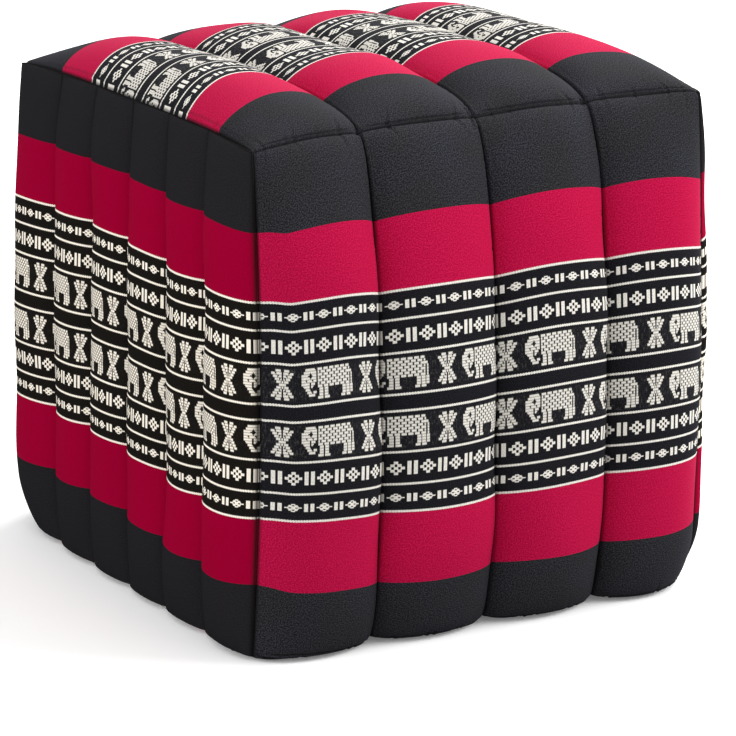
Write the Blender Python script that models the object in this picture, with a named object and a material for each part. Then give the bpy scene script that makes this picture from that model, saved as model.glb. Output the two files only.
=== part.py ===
"""Cube pouf: four stuffed chambers side by side, closed by a quilted panel at each end.

Metres, +Z up, standing on Z = 0 and centred on the Z axis.  The front, with four wide channels that run on over
the top, faces -Y.  The side panels, with six narrow upright channels each, face -X and +X.

Every face of the cube is a patch between its four curved seams.  The sewn valleys bulge a little beyond that
patch, and between two valleys the cloth rises to a round crown.
"""

from typing import NamedTuple

import bmesh
import bpy
from mathutils import Vector

# --- driving sizes ---------------------------------------------------------------------------------------------
SIZE = 0.350                    # the cube, from seam to seam
HALF = SIZE / 2
GAP = 0.0003                    # left between neighbouring pieces
WALL_GAP = 0.0008               # left behind a side panel, where both walls are dished
RIM = 0.002                     # thickness of a side panel at its seams
DISH = 0.012                    # how far a side panel's back swells into the pouf
DISH_POWER = 4.0

LOBE_SEAMS = (-1.0, -0.506, -0.003, 0.497, 1.0)                     # across X, in half sizes
SIDE_SEAMS = (-1.0, -0.646, -0.320, -0.006, 0.309, 0.629, 1.0)      # along Y, in half sizes
CROWN_ROOT = 0.625              # roundness of the crown between two seams
SIDE_END_CROWN = 1.3            # the side channel next to the front stands out this much more


class Corner(NamedTuple):
    """Where three seams meet, and how far the cloth there rolls in under the cube."""

    x: float
    y: float
    z: float
    tuck: float


class Quilt(NamedTuple):
    """How one face swells beyond its seams."""

    valley: float               # bulge of the sewn valleys
    valley_power: float
    valley_root: float
    crown: float                # rise of a channel above its valleys
    crown_power: float
    crown_root: float
    slack: float                # share of the crown lost from the front to the back


class Seam(NamedTuple):
    """How far an edge seam leaves the straight line between its corners."""

    drawn_in: float
    arched_up: float
    crown_out: float            # outward and upward swell of the seam at each channel
    crown_up: float


CORNERS = {                     # (side, face, level), each -1 or +1
    (-1, -1, 1): Corner(-0.1735, -0.1715, 0.3432, 0.0),
    (1, -1, 1): Corner(0.1715, -0.1680, 0.3459, 0.0),
    (-1, 1, 1): Corner(-0.1710, 0.1710, 0.3364, 0.0),
    (1, 1, 1): Corner(0.1715, 0.1710, 0.3380, 0.0),
    (-1, -1, -1): Corner(-0.1740, -0.1715, 0.0030, 0.0),
    (1, -1, -1): Corner(0.1725, -0.1700, 0.0030, 0.009),
    (-1, 1, -1): Corner(-0.1735, 0.1720, 0.0030, 0.010),
    (1, 1, -1): Corner(0.1725, 0.1700, 0.0030, 0.009),
}
SEAM_POWER = 4                  # how evenly a seam's curve runs before it turns to its corners
TUCK_HEIGHT = 0.040             # the rolled-in stretch above the floor
TUCK_POWER = 4                  # how closely the rolled-in stretch keeps to its corner
UPRIGHT_BOW = (-0.001, 0.0075)  # outward bow of the four upright seams, along X and Y

FRONT_QUILT = Quilt(0.017, 3.0, 0.45, 0.020, 3.0, 0.5, 0.0)
TOP_QUILT = Quilt(0.010, 4.0, 0.60, 0.020, 3.0, 0.5, 0.25)
UNDER_QUILT = Quilt(-0.004, 4.0, 0.60, 0.014, 3.0, 0.5, 0.0)
SIDE_QUILT = Quilt(0.0, 3.0, 0.50, 0.013, 4.0, 0.5, 0.0)

CROSS_SEAMS = {1: Seam(0.012, 0.0, 0.002, 0.002), -1: Seam(0.0, 0.0, 0.020, 0.001)}         # run along X
SIDE_RUN_SEAMS = {1: Seam(0.001, 0.004, 0.001, 0.0), -1: Seam(-0.002, 0.0, 0.006, 0.001)}   # run along Y

LOBE_STEPS = 10                 # facets across one lobe
RUN_STEPS = 16                  # facets along a lobe or channel, on each face
CHANNEL_STEPS = 6               # facets across one side channel
EASING = 0.5                    # how much the facets crowd towards both ends of a run
TOUCH = 1e-4                    # grid places closer than this are one place
PLANE = 1e-6                    # and so are places in the pouf, in metres

BLACK_CLOTH = (0.022, 0.022, 0.028, 1.0)
CLOTH_ROUGHNESS = 0.78


# --- the curved cube -------------------------------------------------------------------------------------------
def clamp(value, low, high):
    """Keep a value between two limits."""
    return max(low, min(high, value))


def swell(t, power, root):
    """Rise from 0 at either end of a run to 1 in its middle."""
    return max(0.0, 1.0 - abs(2.0 * t - 1.0) ** power) ** root


def flat_middle(s):
    """1 along the middle of a seam and 0 at its corners."""
    return 1.0 - abs(s) ** SEAM_POWER


def channel_crown(s, seams):
    """Height, 0 to 1, of the round crown at s, and the number of its channel."""
    index = 0
    while index < len(seams) - 2 and s >= seams[index + 1]:
        index += 1
    place = (s - seams[index]) / (seams[index + 1] - seams[index])
    return swell(place, 2.0, CROWN_ROOT), index


def corner_point(side, face, level):
    """Place of one corner."""
    corner = CORNERS[side, face, level]
    return Vector((corner.x, corner.y, corner.z))


def upright_seam(side, face, t):
    """Upright corner seam, from the bottom at t = 0 to the top at t = 1."""
    point = corner_point(side, face, -1).lerp(corner_point(side, face, 1), t)
    bow = swell(t, 2.0, 1.0)
    return point + Vector((side * UPRIGHT_BOW[0], face * UPRIGHT_BOW[1], 0.0)) * bow


def cross_seam(face, level, s):
    """Seam along X at the top or bottom of the front or back, with s from -1 to 1, without its channels."""
    seam = CROSS_SEAMS[level]
    point = corner_point(-1, face, level).lerp(corner_point(1, face, level), (s + 1.0) / 2.0)
    return point + Vector((0.0, -face * seam.drawn_in, seam.arched_up)) * flat_middle(s)


def side_seam(side, level, s):
    """Seam along Y at the top or bottom of a side panel, with s from -1 to 1, without its channels."""
    seam = SIDE_RUN_SEAMS[level]
    point = corner_point(side, -1, level).lerp(corner_point(side, 1, level), (s + 1.0) / 2.0)
    return point + Vector((-side * seam.drawn_in, 0.0, seam.arched_up)) * flat_middle(s)


def patch(start, end, left, right, corners, u, v):
    """Blend four edge points and four corners into a point of the patch between them."""
    blended = start.lerp(end, v) + left.lerp(right, u)
    bottom = corners[0].lerp(corners[1], u)
    top = corners[2].lerp(corners[3], u)
    return blended - bottom.lerp(top, v)


def tuck_corners(point):
    """Roll the cloth in near the corners that stand on the floor."""
    fade = clamp(1.0 - point.z / TUCK_HEIGHT, 0.0, 1.0) ** 2
    across = clamp(point.x / HALF, -1.0, 1.0)
    along = clamp(point.y / HALF, -1.0, 1.0)
    moved = point.copy()
    for (side, face, _level), corner in CORNERS.items():
        near = (clamp(side * across, 0.0, 1.0) * clamp(face * along, 0.0, 1.0)) ** TUCK_POWER
        moved -= Vector((side, face, 0.0)) * (corner.tuck * fade * near)
    return moved


def swollen(point, s, v, outward, quilt, seams, start_swell, end_swell, end_crown=1.0):
    """Raise a patch point by its face's valleys and channel crowns."""
    crown, index = channel_crown(s, seams)
    rise = quilt.crown * (1.0 - quilt.slack * v)
    if index == 0:
        rise *= end_crown
    seam_swell = start_swell if v < 0.5 else end_swell
    middle = swell(v, quilt.crown_power, quilt.crown_root)
    raised = point + (seam_swell * (1.0 - middle) + outward * rise * middle) * crown
    valley = quilt.valley * flat_middle(s) * swell(v, quilt.valley_power, quilt.valley_root)
    return raised + outward * valley


def upright_face(face, s, v):
    """Point on the front (face = -1) or back: s across from -1 to 1, v up from 0 to 1."""
    corners = [corner_point(side, face, level) for level in (-1, 1) for side in (-1, 1)]
    point = patch(cross_seam(face, -1, s), cross_seam(face, 1, s), upright_seam(-1, face, v),
                  upright_seam(1, face, v), corners, (s + 1.0) / 2.0, v)
    low, high = (Vector((0.0, face * CROSS_SEAMS[level].crown_out, CROSS_SEAMS[level].crown_up))
                 for level in (-1, 1))
    outward = Vector((0.0, face, 0.0))
    return tuck_corners(swollen(point, s, v, outward, FRONT_QUILT, LOBE_SEAMS, low, high))


def level_face(level, s, v):
    """Point on the top (level = 1) or underside: s across from -1 to 1, v back from 0 to 1."""
    quilt = TOP_QUILT if level > 0 else UNDER_QUILT
    corners = [corner_point(side, face, level) for face in (-1, 1) for side in (-1, 1)]
    along = 2.0 * v - 1.0
    point = patch(cross_seam(-1, level, s), cross_seam(1, level, s), side_seam(-1, level, along),
                  side_seam(1, level, along), corners, (s + 1.0) / 2.0, v)
    seam = CROSS_SEAMS[level]
    front, back = (Vector((0.0, face * seam.crown_out, seam.crown_up)) for face in (-1, 1))
    outward = Vector((0.0, 0.0, level))
    point = tuck_corners(swollen(point, s, v, outward, quilt, LOBE_SEAMS, front, back))
    point.z = max(point.z, 0.0)
    return point


def side_patch(side, s, v):
    """Point between a side panel's four seams, before it is quilted: s from the front, v up."""
    corners = [corner_point(side, face, level) for level in (-1, 1) for face in (-1, 1)]
    return patch(side_seam(side, -1, s), side_seam(side, 1, s), upright_seam(side, -1, v),
                 upright_seam(side, 1, v), corners, (s + 1.0) / 2.0, v)


def side_face(side, s, v):
    """Point on a side panel: s from the front at -1 to the back at 1, v up from 0 to 1."""
    low, high = (Vector((side * SIDE_RUN_SEAMS[level].crown_out, 0.0, SIDE_RUN_SEAMS[level].crown_up))
                 for level in (-1, 1))
    outward = Vector((side, 0.0, 0.0))
    point = swollen(side_patch(side, s, v), s, v, outward, SIDE_QUILT, SIDE_SEAMS, low, high, SIDE_END_CROWN)
    return tuck_corners(point)


def side_back(side, s, v, clearance=0.0):
    """Point on the inner face of a side panel, which swells into the pouf, or clear of it by a little."""
    dish = DISH * swell((s + 1.0) / 2.0, DISH_POWER, 1.0) * swell(v, DISH_POWER, 1.0)
    return tuck_corners(side_patch(side, s, v)) - Vector((side * (RIM + clearance + dish), 0.0, 0.0))


# --- the pieces ------------------------------------------------------------------------------------------------
def ease(t):
    """Crowd the facets towards both ends of a run, where the cloth turns most."""
    smooth = t * t * (3.0 - 2.0 * t)
    return clamp(t + EASING * (smooth - t), 0.0, 1.0)


def on_end(value, end):
    """Whether a grid coordinate lies on the given end of the unit cube."""
    return abs(value - end) < TOUCH


def loop_point(s, along, up):
    """Point of the cloth loop round a lobe: along from the front, up from the floor, both 0 to 1."""
    if on_end(along, 0.0):
        return upright_face(-1, s, ease(up))
    if on_end(along, 1.0):
        return upright_face(1, s, ease(up))
    return level_face(1 if on_end(up, 1.0) else -1, s, ease(along))


def partition_x(seam, side):
    """X of the flat wall on the given side of a lobe, half a gap from the seam between two lobes."""
    return LOBE_SEAMS[seam] * HALF - side * GAP / 2.0


def is_outer(seam):
    """Whether a seam of the lobes is one of the pouf's own edges."""
    return abs(LOBE_SEAMS[seam]) == 1.0


def rim_x(seam, side, along, up):
    """X of a lobe's wall at its rim: a flat partition, or the back of a side panel."""
    if is_outer(seam):
        return loop_point(LOBE_SEAMS[seam], along, up).x - side * (RIM + GAP)
    return partition_x(seam, side)


def wall_point(number, across, along, up):
    """Place of a grid point inside one of a lobe's two walls."""
    seam, side = (number, -1) if across < 0.5 else (number + 1, 1)
    if is_outer(seam):
        return side_back(side, 2.0 * ease(along) - 1.0, ease(up), WALL_GAP)
    return Vector((partition_x(seam, side), (along - 0.5) * SIZE, up * SIZE))


def lobe_point(number, across, along, up):
    """Place of one grid point of a lobe."""
    if not any(on_end(place, end) for place in (along, up) for end in (0.0, 1.0)):
        return wall_point(number, across, along, up)
    low, high = LOBE_SEAMS[number], LOBE_SEAMS[number + 1]
    left, right = (loop_point(s, along, up).x for s in (low, high))
    point = loop_point(low + (high - low) * ease(across), along, up)
    share = (point.x - left) / (right - left)
    new_left, new_right = rim_x(number, -1, along, up), rim_x(number + 1, 1, along, up)
    point.x = new_left + (new_right - new_left) * share
    return point


def channel_place(along):
    """Seam coordinate, -1 to 1, of a grid place along a side panel, eased within its channel."""
    channels = len(SIDE_SEAMS) - 1
    index = min(int(along * channels + TOUCH), channels - 1)
    place = ease(clamp(along * channels - index, 0.0, 1.0))
    return SIDE_SEAMS[index] + (SIDE_SEAMS[index + 1] - SIDE_SEAMS[index]) * place


def side_point(side, across, along, up):
    """Place of one grid point of a side panel."""
    outside = across < 0.5 if side < 0 else across > 0.5
    surface = side_face if outside else side_back
    return surface(side, channel_place(along), ease(up))


def grid_box(steps):
    """Unit cube from 0 to 1 on every axis, cut into the given number of steps along X, Y and Z."""
    mesh = bmesh.new()
    bmesh.ops.create_cube(mesh, size=1.0)
    bmesh.ops.translate(mesh, verts=mesh.verts, vec=(0.5, 0.5, 0.5))
    for axis, count in enumerate(steps):
        if count > 1:
            edges = [edge for edge in mesh.edges
                     if abs(edge.verts[0].co[axis] - edge.verts[1].co[axis]) > 0.5]
            bmesh.ops.subdivide_edges(mesh, edges=edges, cuts=count - 1, use_grid_fill=True)
    return mesh


def merge_partition(mesh, x):
    """Make one flat face of the facets that lie in a partition's plane."""
    facets = [face for face in mesh.faces if all(abs(vert.co.x - x) < PLANE for vert in face.verts)]
    bmesh.ops.dissolve_faces(mesh, faces=facets, use_verts=False)


def cloth_material(name):
    """Plain black cloth, which the bands are woven into later."""
    material = bpy.data.materials.new(name)
    material.use_nodes = True
    shader = material.node_tree.nodes["Principled BSDF"]
    shader.inputs["Base Color"].default_value = BLACK_CLOTH
    shader.inputs["Roughness"].default_value = CLOTH_ROUGHNESS
    shader.inputs["Metallic"].default_value = 0.0
    material.diffuse_color = BLACK_CLOTH
    return material


def add_piece(name, mesh, collection, parent):
    """Turn a finished mesh into a named, closed object of flat facets with its own material."""
    bmesh.ops.triangulate(mesh, faces=mesh.faces)
    bmesh.ops.recalc_face_normals(mesh, faces=mesh.faces)
    data = bpy.data.meshes.new(name)
    mesh.to_mesh(data)
    mesh.free()
    data.materials.append(cloth_material(name + "_cloth"))
    piece = bpy.data.objects.new(name, data)
    collection.objects.link(piece)
    piece.parent = parent
    return piece


def make_lobe(number, collection, parent):
    """One stuffed chamber with its flat partition walls."""
    mesh = grid_box((LOBE_STEPS, RUN_STEPS, RUN_STEPS))
    for vert in mesh.verts:
        vert.co = lobe_point(number, *vert.co)
    for seam, side in ((number, -1), (number + 1, 1)):
        if not is_outer(seam):
            merge_partition(mesh, partition_x(seam, side))
    return add_piece(f"lobe_{number + 1}", mesh, collection, parent)


def make_side_panel(side, collection, parent):
    """One quilted side panel with six upright channels."""
    channels = len(SIDE_SEAMS) - 1
    mesh = grid_box((1, channels * CHANNEL_STEPS, RUN_STEPS))
    for vert in mesh.verts:
        vert.co = side_point(side, *vert.co)
    name = "side_panel_left" if side < 0 else "side_panel_right"
    return add_piece(name, mesh, collection, parent)


def main():
    """Build the pouf in an empty scene."""
    for item in list(bpy.data.objects):
        bpy.data.objects.remove(item, do_unlink=True)
    collection = bpy.data.collections.new("cube_pouf")
    bpy.context.scene.collection.children.link(collection)
    centre = bpy.data.objects.new("cube_pouf_centre", None)
    collection.objects.link(centre)
    for number in range(len(LOBE_SEAMS) - 1):
        make_lobe(number, collection, centre)
    for side in (-1, 1):
        make_side_panel(side, collection, centre)


main()
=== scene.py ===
"""Looks of the cube pouf: four stuffed lobes and two quilted side panels of banded, figured cloth.

The six pieces are fine, closed cushions that stand for the CAD solids.  Their cloth carries a woven band of
elephants and small lozenges between red and black stripes, charted below and laid out in cloth
millimetres, so that each face of the cube has its own cut of the same cloth.
"""
import logging
import math
from dataclasses import dataclass, field
from enum import Enum, IntEnum
from typing import Callable

import bpy
import numpy as np
from mathutils import Matrix, Vector


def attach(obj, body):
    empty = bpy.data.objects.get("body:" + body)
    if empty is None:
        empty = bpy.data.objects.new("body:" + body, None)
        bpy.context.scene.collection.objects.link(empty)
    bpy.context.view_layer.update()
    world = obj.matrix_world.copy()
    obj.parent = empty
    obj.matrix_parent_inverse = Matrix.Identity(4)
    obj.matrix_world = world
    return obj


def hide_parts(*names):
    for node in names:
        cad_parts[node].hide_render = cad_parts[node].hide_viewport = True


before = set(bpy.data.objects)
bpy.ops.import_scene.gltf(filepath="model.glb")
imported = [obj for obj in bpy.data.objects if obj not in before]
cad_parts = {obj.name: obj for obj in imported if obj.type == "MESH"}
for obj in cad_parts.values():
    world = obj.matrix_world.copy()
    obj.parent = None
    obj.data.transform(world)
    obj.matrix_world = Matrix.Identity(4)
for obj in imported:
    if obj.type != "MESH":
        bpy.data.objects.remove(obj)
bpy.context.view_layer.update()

LOG = logging.getLogger("cube_pouf")
MM = 0.001
Array = np.ndarray
Edge = Callable[[Array], Array]


# --- the shape of the cube --------------------------------------------------------------------
@dataclass(frozen=True)
class Corner:
    """Where three seams meet, and how far the cloth there rolls in under the cube, in metres."""

    x: float
    y: float
    z: float
    tuck: float = 0.0


@dataclass(frozen=True)
class Quilt:
    """How one face swells beyond its seams, in metres."""

    valley: float
    valley_power: float
    valley_root: float
    crown: float
    crown_power: float
    crown_root: float = 0.5
    slack: float = 0.0


@dataclass(frozen=True)
class Seam:
    """How far an edge seam leaves the straight line between its corners, in metres."""

    drawn_in: float
    arched_up: float
    crown_out: float
    crown_up: float


def swell(t: Array, power: float, root: float) -> Array:
    """Rise from 0 at either end of a run to 1 in its middle."""
    return np.clip(1.0 - np.abs(2.0 * t - 1.0) ** power, 0.0, 1.0) ** root


def smooth_step(t: Array) -> Array:
    """Ease from 0 to 1 without a corner at either end."""
    t = np.clip(t, 0.0, 1.0)
    return t * t * (3.0 - 2.0 * t)


def column(values: Array) -> Array:
    """Give weights a last axis, to multiply points with."""
    return np.asarray(values, float)[..., None]


def running_length(points: Array, axis: int) -> Array:
    """Length from a grid's first edge to each of its points, along one of its axes."""
    steps = np.linalg.norm(np.diff(points, axis=axis), axis=-1)
    return np.insert(np.cumsum(steps, axis=axis), 0, 0.0, axis=axis)


@dataclass(frozen=True)
class CubeForm:
    """The curved cube that all the pieces share: each face is a patch between four seams, with its channels.

    Faces take s across the channels, from -1 to 1, and v along them, from 0 to 1: up on an upright face and
    back on a level one.  Both are grids of one shape.
    """

    half: float = 0.175
    lobe_seams: tuple[float, ...] = (-1.0, -0.506, -0.003, 0.497, 1.0)
    side_seams: tuple[float, ...] = (-1.0, -0.646, -0.320, -0.006, 0.309, 0.629, 1.0)
    crown_root: float = 0.625
    side_end_crown: float = 1.3
    seam_power: int = 4
    tuck_height: float = 0.040
    tuck_power: int = 4
    upright_bow: tuple[float, float] = (-0.001, 0.0075)
    corners: dict = field(default_factory=lambda: {
        (-1, -1, 1): Corner(-0.1735, -0.1715, 0.3432),
        (1, -1, 1): Corner(0.1715, -0.1680, 0.3459),
        (-1, 1, 1): Corner(-0.1710, 0.1710, 0.3364),
        (1, 1, 1): Corner(0.1715, 0.1710, 0.3380),
        (-1, -1, -1): Corner(-0.1740, -0.1715, 0.0030),
        (1, -1, -1): Corner(0.1725, -0.1700, 0.0030, 0.009),
        (-1, 1, -1): Corner(-0.1735, 0.1720, 0.0030, 0.010),
        (1, 1, -1): Corner(0.1725, 0.1700, 0.0030, 0.009),
    })
    front_quilt: Quilt = Quilt(0.017, 3.0, 0.45, 0.020, 3.0)
    top_quilt: Quilt = Quilt(0.010, 4.0, 0.60, 0.020, 3.0, slack=0.25)
    under_quilt: Quilt = Quilt(-0.004, 4.0, 0.60, 0.014, 3.0)
    side_quilt: Quilt = Quilt(0.0, 3.0, 0.50, 0.013, 4.0)
    cross_seams: dict = field(default_factory=lambda: {
        1: Seam(0.012, 0.0, 0.002, 0.002), -1: Seam(0.0, 0.0, 0.020, 0.001)})
    side_run_seams: dict = field(default_factory=lambda: {
        1: Seam(0.001, 0.004, 0.001, 0.0), -1: Seam(-0.002, 0.0, 0.006, 0.001)})

    def is_outer(self, seam: int) -> bool:
        """Whether a lobe seam is one that a side panel is sewn to."""
        return abs(self.lobe_seams[seam]) == 1.0

    def corner(self, side: int, face: int, level: int) -> Array:
        """Place of one corner."""
        spot = self.corners[side, face, level]
        return np.array((spot.x, spot.y, spot.z))

    def along(self, s: Array) -> Array:
        """1 along the middle of a seam and 0 at its corners."""
        return 1.0 - np.abs(s) ** self.seam_power

    @staticmethod
    def channel(s: Array, seams: tuple[float, ...]) -> tuple[Array, Array]:
        """Find the channel of each place across a face.

        Args:
            s: places across, from -1 to 1.
            seams: the channel seams of that face.

        Returns:
            The number of each place's channel, and the place in it from 0 to 1.
        """
        edges = np.array(seams)
        index = np.clip(np.searchsorted(edges, s, side="right") - 1, 0, len(seams) - 2)
        return index, (s - edges[index]) / (edges[index + 1] - edges[index])

    def upright_seam(self, side: int, face: int, v: Array) -> Array:
        """Points of an upright corner seam."""
        low, high = self.corner(side, face, -1), self.corner(side, face, 1)
        bow = np.array((side * self.upright_bow[0], face * self.upright_bow[1], 0.0))
        return low + (high - low) * column(v) + bow * column(swell(v, 2.0, 1.0))

    def cross_seam(self, face: int, level: int, s: Array) -> Array:
        """Points of a seam along X, without its channels."""
        seam = self.cross_seams[level]
        low, high = self.corner(-1, face, level), self.corner(1, face, level)
        bend = np.array((0.0, -face * seam.drawn_in, seam.arched_up))
        return low + (high - low) * column((s + 1.0) / 2.0) + bend * column(self.along(s))

    def side_seam(self, side: int, level: int, s: Array) -> Array:
        """Points of a seam along Y, without its channels."""
        seam = self.side_run_seams[level]
        low, high = self.corner(side, -1, level), self.corner(side, 1, level)
        bend = np.array((-side * seam.drawn_in, 0.0, seam.arched_up))
        return low + (high - low) * column((s + 1.0) / 2.0) + bend * column(self.along(s))

    @staticmethod
    def patch(start: Edge, end: Edge, left: Edge, right: Edge, s: Array, v: Array) -> Array:
        """Blend four seams into the patch between them.

        Args:
            start, end: the seams at v = 0 and v = 1, as functions of s.
            left, right: the seams at s = -1 and s = 1, as functions of v.
            s, v: places across and along, as grids.

        Returns:
            The points of the grid.
        """
        across, far = column((s + 1.0) / 2.0), column(v)
        ends = np.array((-1.0, 1.0))
        (low_left, low_right), (high_left, high_right) = start(ends), end(ends)
        low = low_left + (low_right - low_left) * across
        high = high_left + (high_right - high_left) * across
        edges = start(s) * (1.0 - far) + end(s) * far + left(v) * (1.0 - across) + right(v) * across
        return edges - (low + (high - low) * far)

    def tuck_corners(self, points: Array) -> Array:
        """Roll the cloth in near the corners that stand on the floor."""
        fade = np.clip(1.0 - points[..., 2] / self.tuck_height, 0.0, 1.0) ** 2
        across = np.clip(points[..., 0] / self.half, -1.0, 1.0)
        along = np.clip(points[..., 1] / self.half, -1.0, 1.0)
        moved = points.copy()
        for (side, face, _level), spot in self.corners.items():
            near = (np.clip(side * across, 0.0, 1.0) * np.clip(face * along, 0.0, 1.0)) ** self.tuck_power
            moved -= np.array((side, face, 0.0)) * column(spot.tuck * fade * near)
        return moved

    def swollen(self, points: Array, s: Array, v: Array, outward: tuple, quilt: Quilt, seams: tuple,
                swells: tuple[tuple, tuple], end_crown: float = 1.0) -> Array:
        """Raise patch points by their face's valleys and channel crowns.

        Args:
            points: the patch.
            s, v: places across the channels and along them.
            outward: the way the face looks.
            quilt: the face's quilting.
            seams: the face's channel seams.
            swells: how the seams at the start and the end swell with each channel.
            end_crown: how much more the first channel stands out.

        Returns:
            The raised points.
        """
        index, place = self.channel(s, seams)
        crown = swell(place, 2.0, self.crown_root)
        rise = quilt.crown * (1.0 - quilt.slack * v) * np.where(index == 0, end_crown, 1.0)
        middle = swell(v, quilt.crown_power, quilt.crown_root)
        seam_swell = np.where(column(v) < 0.5, np.array(swells[0]), np.array(swells[1]))
        out = np.array(outward, float)
        raised = points + (seam_swell * column(1.0 - middle) + out * column(rise * middle)) * column(crown)
        valley = quilt.valley * self.along(s) * swell(v, quilt.valley_power, quilt.valley_root)
        return raised + out * column(valley)

    def upright_face(self, face: int, s: Array, v: Array) -> Array:
        """Points of the front (face = -1) or back, v going up."""
        points = self.patch(lambda u: self.cross_seam(face, -1, u), lambda u: self.cross_seam(face, 1, u),
                            lambda t: self.upright_seam(-1, face, t), lambda t: self.upright_seam(1, face, t),
                            s, v)
        swells = tuple((0.0, face * self.cross_seams[level].crown_out, self.cross_seams[level].crown_up)
                       for level in (-1, 1))
        raised = self.swollen(points, s, v, (0.0, face, 0.0), self.front_quilt, self.lobe_seams, swells)
        return self.tuck_corners(raised)

    def level_face(self, level: int, s: Array, v: Array) -> Array:
        """Points of the top (level = 1) or underside, v going back."""
        quilt = self.top_quilt if level > 0 else self.under_quilt
        points = self.patch(lambda u: self.cross_seam(-1, level, u), lambda u: self.cross_seam(1, level, u),
                            lambda t: self.side_seam(-1, level, 2.0 * t - 1.0),
                            lambda t: self.side_seam(1, level, 2.0 * t - 1.0), s, v)
        seam = self.cross_seams[level]
        swells = tuple((0.0, face * seam.crown_out, seam.crown_up) for face in (-1, 1))
        raised = self.swollen(points, s, v, (0.0, 0.0, level), quilt, self.lobe_seams, swells)
        return self.tuck_corners(raised)

    def side_face(self, side: int, s: Array, v: Array) -> Array:
        """Points of a side panel, s going back and v up."""
        points = self.patch(lambda u: self.side_seam(side, -1, u), lambda u: self.side_seam(side, 1, u),
                            lambda t: self.upright_seam(side, -1, t), lambda t: self.upright_seam(side, 1, t),
                            s, v)
        swells = tuple((side * self.side_run_seams[level].crown_out, 0.0, self.side_run_seams[level].crown_up)
                       for level in (-1, 1))
        raised = self.swollen(points, s, v, (side, 0.0, 0.0), self.side_quilt, self.side_seams, swells,
                              self.side_end_crown)
        return self.tuck_corners(raised)


# --- how the cloth is cut ---------------------------------------------------------------------
class Stripe(Enum):
    """The stripes of the cloth from one edge of a cut to the other, in millimetres."""

    BLACK = (0.0, 52.0)
    RED = (52.0, 97.5)
    BAND = (97.5, 245.5)
    RED_AGAIN = (245.5, 295.0)
    BLACK_AGAIN = (295.0, 343.0)


LOOM_EDGES = (0.0, *(stripe.value[1] for stripe in Stripe))  # the same edges in one row
CUT_LENGTH = LOOM_EDGES[-1]
SLIP_RISE = 3.5  # a slip is at its full size after 1 / 3.5 of the cut
SLIP_FALL = 6.0  # and dies away over its last 1 / 6


@dataclass(frozen=True)
class Cut:
    """How one face was cut from the cloth and sewn over its channels, in millimetres.

    Attributes:
        edges: where the stripes begin and end on this face, over the same length as the loom's.
        width: cloth across one channel, less than none where the figures run against the channels' order.
        starts: the place along the figures where each channel begins, as the seams between take up cloth.
        slips: how far each channel's cloth slid down.
        first_seam_slip: how much further the cloth slid at the seam before the first channel.
    """

    edges: tuple[float, ...]
    width: float
    starts: tuple[float, ...]
    slips: tuple[float, ...]
    first_seam_slip: float = 0.0

    def across(self, points: Array, index: Array, place: Array) -> Array:
        """Cloth place across the face.

        A channel's cloth lies half evenly over its chord and half over its arc, which runs deep at the seams.

        Args:
            points: the face's grid, channels running across its second axis.
            index: the channel of each point.
            place: where in the channel it lies, from 0 to 1.

        Returns:
            The place of each point, in metres.
        """
        run = running_length(points, 1)
        share = np.zeros(place.shape)
        ends = np.flatnonzero(np.diff(index[0], prepend=-1)).tolist() + [place.shape[1] - 1]
        for first, last in zip(ends, ends[1:]):
            inside = run[:, first:last + 1] - run[:, first:first + 1]
            share[:, first:last + 1] = inside / inside[:, -1:]
        return (np.array(self.starts)[index] + self.width * (share + place) / 2.0) * MM

    def down(self, share: Array, index: Array, place: Array) -> Array:
        """Place along the cut of a share of the face's run.

        Args:
            share: how much of the run lies before the point, from 0 to 1.
            index: the channel of each point.
            place: where in the channel it lies, from 0 to 1.

        Returns:
            The place, in metres of the loom's length.
        """
        before = self.slips[0] + 2.0 * self.first_seam_slip
        slips = np.array((before, *self.slips, self.slips[-1]))
        middle = index + place + 0.5
        low = np.floor(middle).astype(int)
        slip = slips[low] + (slips[low + 1] - slips[low]) * smooth_step(middle - low)
        ends = smooth_step(SLIP_RISE * share) * smooth_step(SLIP_FALL * (1.0 - share))
        return np.interp(share * CUT_LENGTH - slip * ends, self.edges, LOOM_EDGES) * MM


FRONT_CUT = Cut(
    edges=(0.0, 58.4, 104.5, 248.0, 296.5, 343.0), width=93.0, starts=(53.7, 143.6, 239.6, 332.6),
    slips=(-0.8, 2.0, 0.3, 0.7), first_seam_slip=-1.7)
TOP_CUT = Cut(
    edges=(0.0, 55.0, 108.0, 247.5, 294.0, 343.0), width=93.0, starts=(24.0, 123.0, 220.0, 314.0),
    slips=(-3.0, 0.0, 1.0, 0.5), first_seam_slip=-9.0)
BACK_CUT = Cut(
    edges=(0.0, 57.0, 102.0, 246.0, 295.0, 343.0), width=-93.0, starts=(391.0, 300.0, 204.0, 112.0),
    slips=(0.0, -1.0, 1.0, 0.0))
UNDER_CUT = Cut(edges=LOOM_EDGES, width=93.0, starts=(5.0, 98.0, 191.0, 284.0), slips=(0.0, 0.0, 0.0, 0.0))
LEFT_CUT = Cut(
    edges=(0.0, 51.8, 97.2, 243.3, 290.0, 343.0), width=-78.0,
    starts=(386.0, 330.0, 267.5, 203.9, 139.6, 82.3), slips=(2.6, 4.5, 0.0, -2.0, -0.6, -0.6),
    first_seam_slip=-1.0)
RIGHT_CUT = Cut(
    edges=(0.0, 55.0, 101.0, 247.0, 295.0, 343.0), width=60.0,
    starts=(20.0, 80.0, 140.0, 200.0, 260.0, 320.0), slips=(0.5, 1.0, 0.0, -1.0, 0.5, 0.0))
CORNER_BLEND = 0.10  # share of half the front over which its stripes meet the left panel's
HIDDEN_CLOTH = (0.0, 20.0 * MM)  # where the cloth of the hidden walls is taken from: plain black


# --- meshes -----------------------------------------------------------------------------------
FINE = 0.35 * MM  # spacing of the meshes' rows beside a cross seam
COARSE = 2.0 * MM  # and away from it
FINE_REACH = 22.0 * MM  # where it has become coarse


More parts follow.
